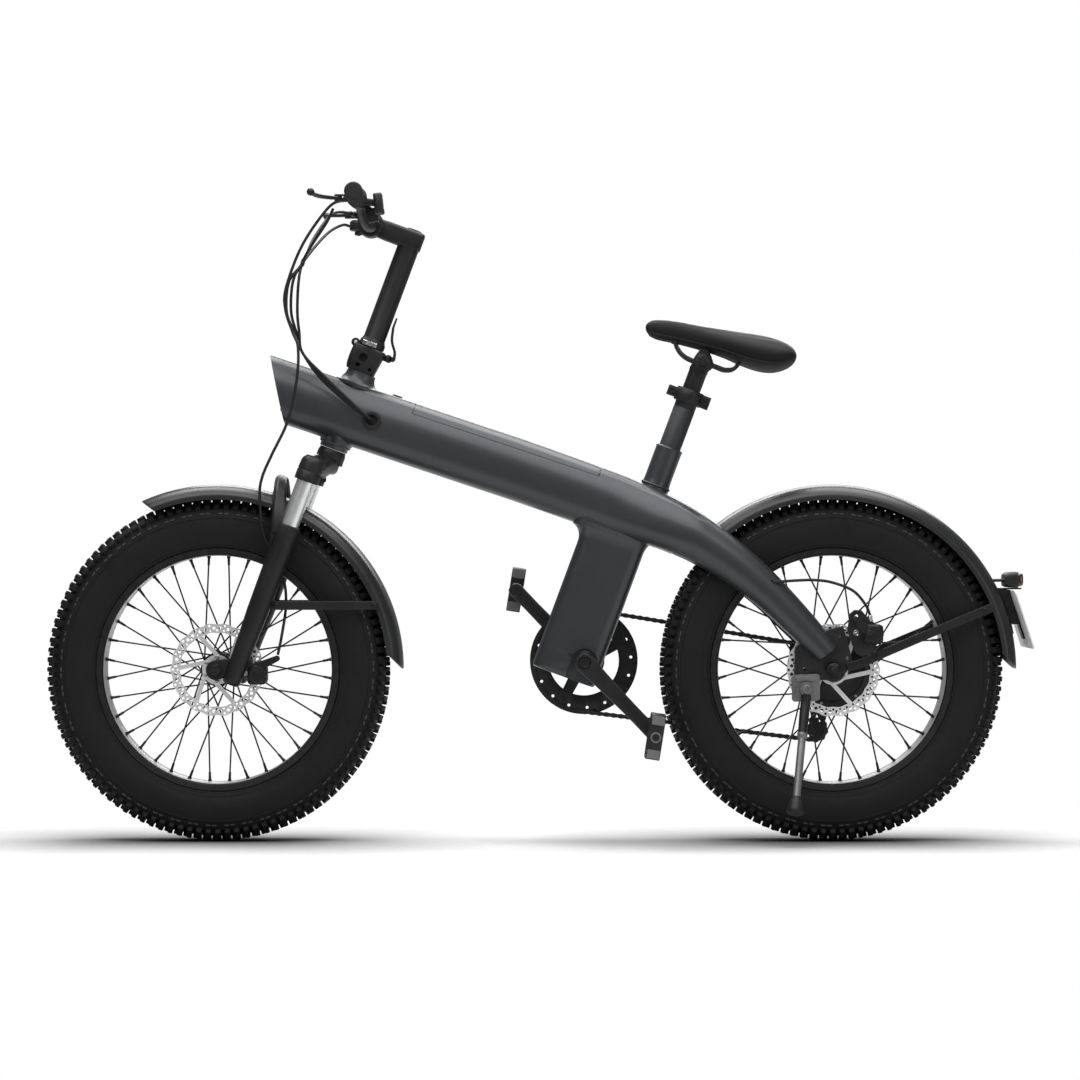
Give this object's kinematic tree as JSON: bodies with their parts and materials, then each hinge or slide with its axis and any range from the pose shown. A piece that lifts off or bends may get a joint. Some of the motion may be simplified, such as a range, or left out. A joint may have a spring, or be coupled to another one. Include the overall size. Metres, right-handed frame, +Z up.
{
  "type": "electric bicycle",
  "caption": "Fat-tyre electric bicycle with a beam frame, suspension fork, folding handlepost, telescopic seat post, rear hub motor, fenders and a side stand.",
  "frame": {"origin": "on the ground, midway along the bicycle's length and in its middle plane", "axes": "+X towards the rear, +Y towards the drive side (the rider's right), +Z up"},
  "size_m": [1.6922, 0.642, 1.1118],
  "materials": {
    "paint": "satin dark blue-grey paint",
    "black": "matte black coating",
    "rubber": "matte",
    "tyre": "matte, lugged tread",
    "steel": "brushed",
    "grey": "satin grey",
    "rim": "satin black anodised",
    "plate": "satin",
    "lens": "clear red",
    "clear": "clear over a reflector",
    "cover": "matte synthetic cover over foam",
    "plastic": "satin moulded plastic"
  },
  "bodies": {
    "frame": {"frame": "paint", "battery_pack": "plastic", "headlight": "clear", "seat_sleeve": "paint", "dropout_left": "black", "dropout_right": "black", "rear_axle": "steel", "kickstand_bracket": "grey", "rear_fender": "plastic", "number_plate": "plate", "tail_light": "lens", "rear_caliper": "black", "derailleur": "black", "chain": "steel", "rear_brake_cable": "rubber"},
    "lid": {"battery_lid": "paint"},
    "button": {"power_button": "rubber"},
    "steering": {"fork_crown": "black", "stanchion_left": "steel", "stanchion_right": "steel", "hinge_base": "black", "front_brake_cable": "rubber", "control_cables": "rubber"},
    "latch": {"fold_latch": "black"},
    "lowers": {"fork_lowers": "black", "front_caliper": "black", "front_fender": "plastic"},
    "front_arm": {"front_caliper_arm": "grey"},
    "front_wheel": {"front_tyre": "tyre", "front_rim": "rim", "front_hub": "black", "front_rotor": "steel"},
    "rear_wheel": {"rear_tyre": "tyre", "rear_rim": "rim", "motor_hub": "black", "rear_rotor": "steel"},
    "rear_arm": {"rear_caliper_arm": "grey"},
    "freewheel": {"freewheel": "steel"},
    "jockey_upper": {"jockey_upper": "plastic"},
    "jockey_lower": {"jockey_lower": "plastic"},
    "crank": {"chainring": "black", "crank_left": "black", "crank_right": "black"},
    "pedal_left": {"pedal_left": "plastic"},
    "pedal_right": {"pedal_right": "plastic"},
    "kickstand": {"kickstand_leg": "grey"},
    "handlepost": {"handlepost": "black", "handlebar": "black", "display": "plastic", "shifter": "plastic", "grip_left": "rubber", "grip_right": "rubber", "brake_perch_left": "black", "brake_perch_right": "black"},
    "lever_left": {"brake_lever_left": "black"},
    "lever_right": {"brake_lever_right": "black"},
    "shift_lever": {"shift_lever": "plastic"},
    "seat_mid": {"seat_mid_post": "black"},
    "seat_upper": {"seat_upper_post": "black", "saddle": "cover"}
  },
  "joints": [
    {"name": "lid_hinge", "type": "hinge", "parent": "frame", "child": "lid", "pos_m": [0.112, 0, 0.64667], "axis": [0, 1, 0], "range_deg": [0, 60]},
    {"name": "power_button_press", "type": "slide", "parent": "frame", "child": "button", "axis": [-0.3173, 0, -0.9483], "range_m": [0, 0.0015], "stiffness_N_per_m": 1500},
    {"name": "steering", "type": "hinge", "parent": "frame", "child": "steering", "pos_m": [-0.3556, 0, 0.6696], "axis": [0.3486, 0, 0.9373], "range_deg": [-45, 45], "deforming": ["control_cables"]},
    {"name": "latch_turn", "type": "hinge", "parent": "steering", "child": "latch", "pos_m": [-0.25814, 0, 0.83127], "axis": [0, 1, 0], "range_deg": [0, 100]},
    {"name": "fork_travel", "type": "slide", "parent": "steering", "child": "lowers", "axis": [0.3486, 0, 0.9373], "range_m": [0, 0.035], "stiffness_N_per_m": 12000, "springref_m": -0.02, "deforming": ["front_brake_cable"]},
    {"name": "front_brake_arm", "type": "hinge", "parent": "lowers", "child": "front_arm", "pos_m": [-0.4835, -0.0745, 0.299], "axis": [0, -1, 0], "range_deg": [0, 20], "deforming": ["front_brake_cable"]},
    {"name": "front_wheel_spin", "type": "hinge", "parent": "lowers", "child": "front_wheel", "pos_m": [-0.5504, 0, 0.2958], "axis": [0, 1, 0], "continuous": true},
    {"name": "rear_wheel_spin", "type": "hinge", "parent": "frame", "child": "rear_wheel", "pos_m": [0.5058, 0, 0.2958], "axis": [0, 1, 0], "continuous": true},
    {"name": "rear_brake_arm", "type": "hinge", "parent": "frame", "child": "rear_arm", "pos_m": [0.566, -0.0905, 0.36], "axis": [0, 1, 0], "range_deg": [0, 20]},
    {"name": "crank_spin", "type": "hinge", "parent": "frame", "child": "crank", "pos_m": [0.0802, 0, 0.3086], "axis": [0, 1, 0], "continuous": true},
    {"name": "freewheel_spin", "type": "hinge", "parent": "frame", "child": "freewheel", "pos_m": [0.5058, 0, 0.2958], "axis": [0, 1, 0], "continuous": true},
    {"name": "jockey_upper_spin", "type": "hinge", "parent": "frame", "child": "jockey_upper", "pos_m": [0.497, 0, 0.2385], "axis": [0, 1, 0], "continuous": true},
    {"name": "jockey_lower_spin", "type": "hinge", "parent": "frame", "child": "jockey_lower", "pos_m": [0.484, 0, 0.188], "axis": [0, 1, 0], "continuous": true},
    {"name": "pedal_left_spin", "type": "hinge", "parent": "crank", "child": "pedal_left", "pos_m": [0.1985, 0, 0.18652], "axis": [0, 1, 0], "continuous": true},
    {"name": "pedal_right_spin", "type": "hinge", "parent": "crank", "child": "pedal_right", "pos_m": [-0.0381, 0, 0.43068], "axis": [0, 1, 0], "continuous": true},
    {"name": "kickstand_swing", "type": "hinge", "parent": "frame", "child": "kickstand", "pos_m": [0.458, 0, 0.264], "axis": [0, -1, 0], "range_deg": [0, 95]},
    {"name": "post_fold", "type": "hinge", "parent": "steering", "child": "handlepost", "pos_m": [-0.3141, 0, 0.86008], "axis": [0, -1, 0], "range_deg": [0, 90], "deforming": ["control_cables", "front_brake_cable"]},
    {"name": "lever_left_pull", "type": "hinge", "parent": "handlepost", "child": "lever_left", "pos_m": [-0.33624, -0.18, 1.09431], "axis": [0, 0, 1], "range_deg": [0, 20], "stiffness_Nm_per_rad": 1.2},
    {"name": "lever_right_pull", "type": "hinge", "parent": "handlepost", "child": "lever_right", "pos_m": [-0.33624, 0.18, 1.09431], "axis": [0, 0, -1], "range_deg": [0, 20], "stiffness_Nm_per_rad": 1.2},
    {"name": "shift_lever_push", "type": "hinge", "parent": "handlepost", "child": "shift_lever", "pos_m": [-0.31624, 0.145, 1.05901], "axis": [0, 0, 1], "range_deg": [0, 25], "stiffness_Nm_per_rad": 0.3},
    {"name": "seat_mid_slide", "type": "slide", "parent": "frame", "child": "seat_mid", "axis": [0.3502, 0, 0.9367], "range_m": [-0.045, 0.06]},
    {"name": "seat_upper_slide", "type": "slide", "parent": "seat_mid", "child": "seat_upper", "axis": [0.3502, 0, 0.9367], "range_m": [-0.03, 0.05]}
  ],
  "couplings": [
    {"joint": "front_brake_arm", "follows": "lever_left_pull", "ratio": 1},
    {"joint": "rear_brake_arm", "follows": "lever_right_pull", "ratio": 1},
    {"joint": "freewheel_spin", "follows": "crank_spin", "ratio": 2.75},
    {"joint": "jockey_upper_spin", "follows": "crank_spin", "ratio": -4.8889},
    {"joint": "jockey_lower_spin", "follows": "crank_spin", "ratio": 4.8889}
  ]
}
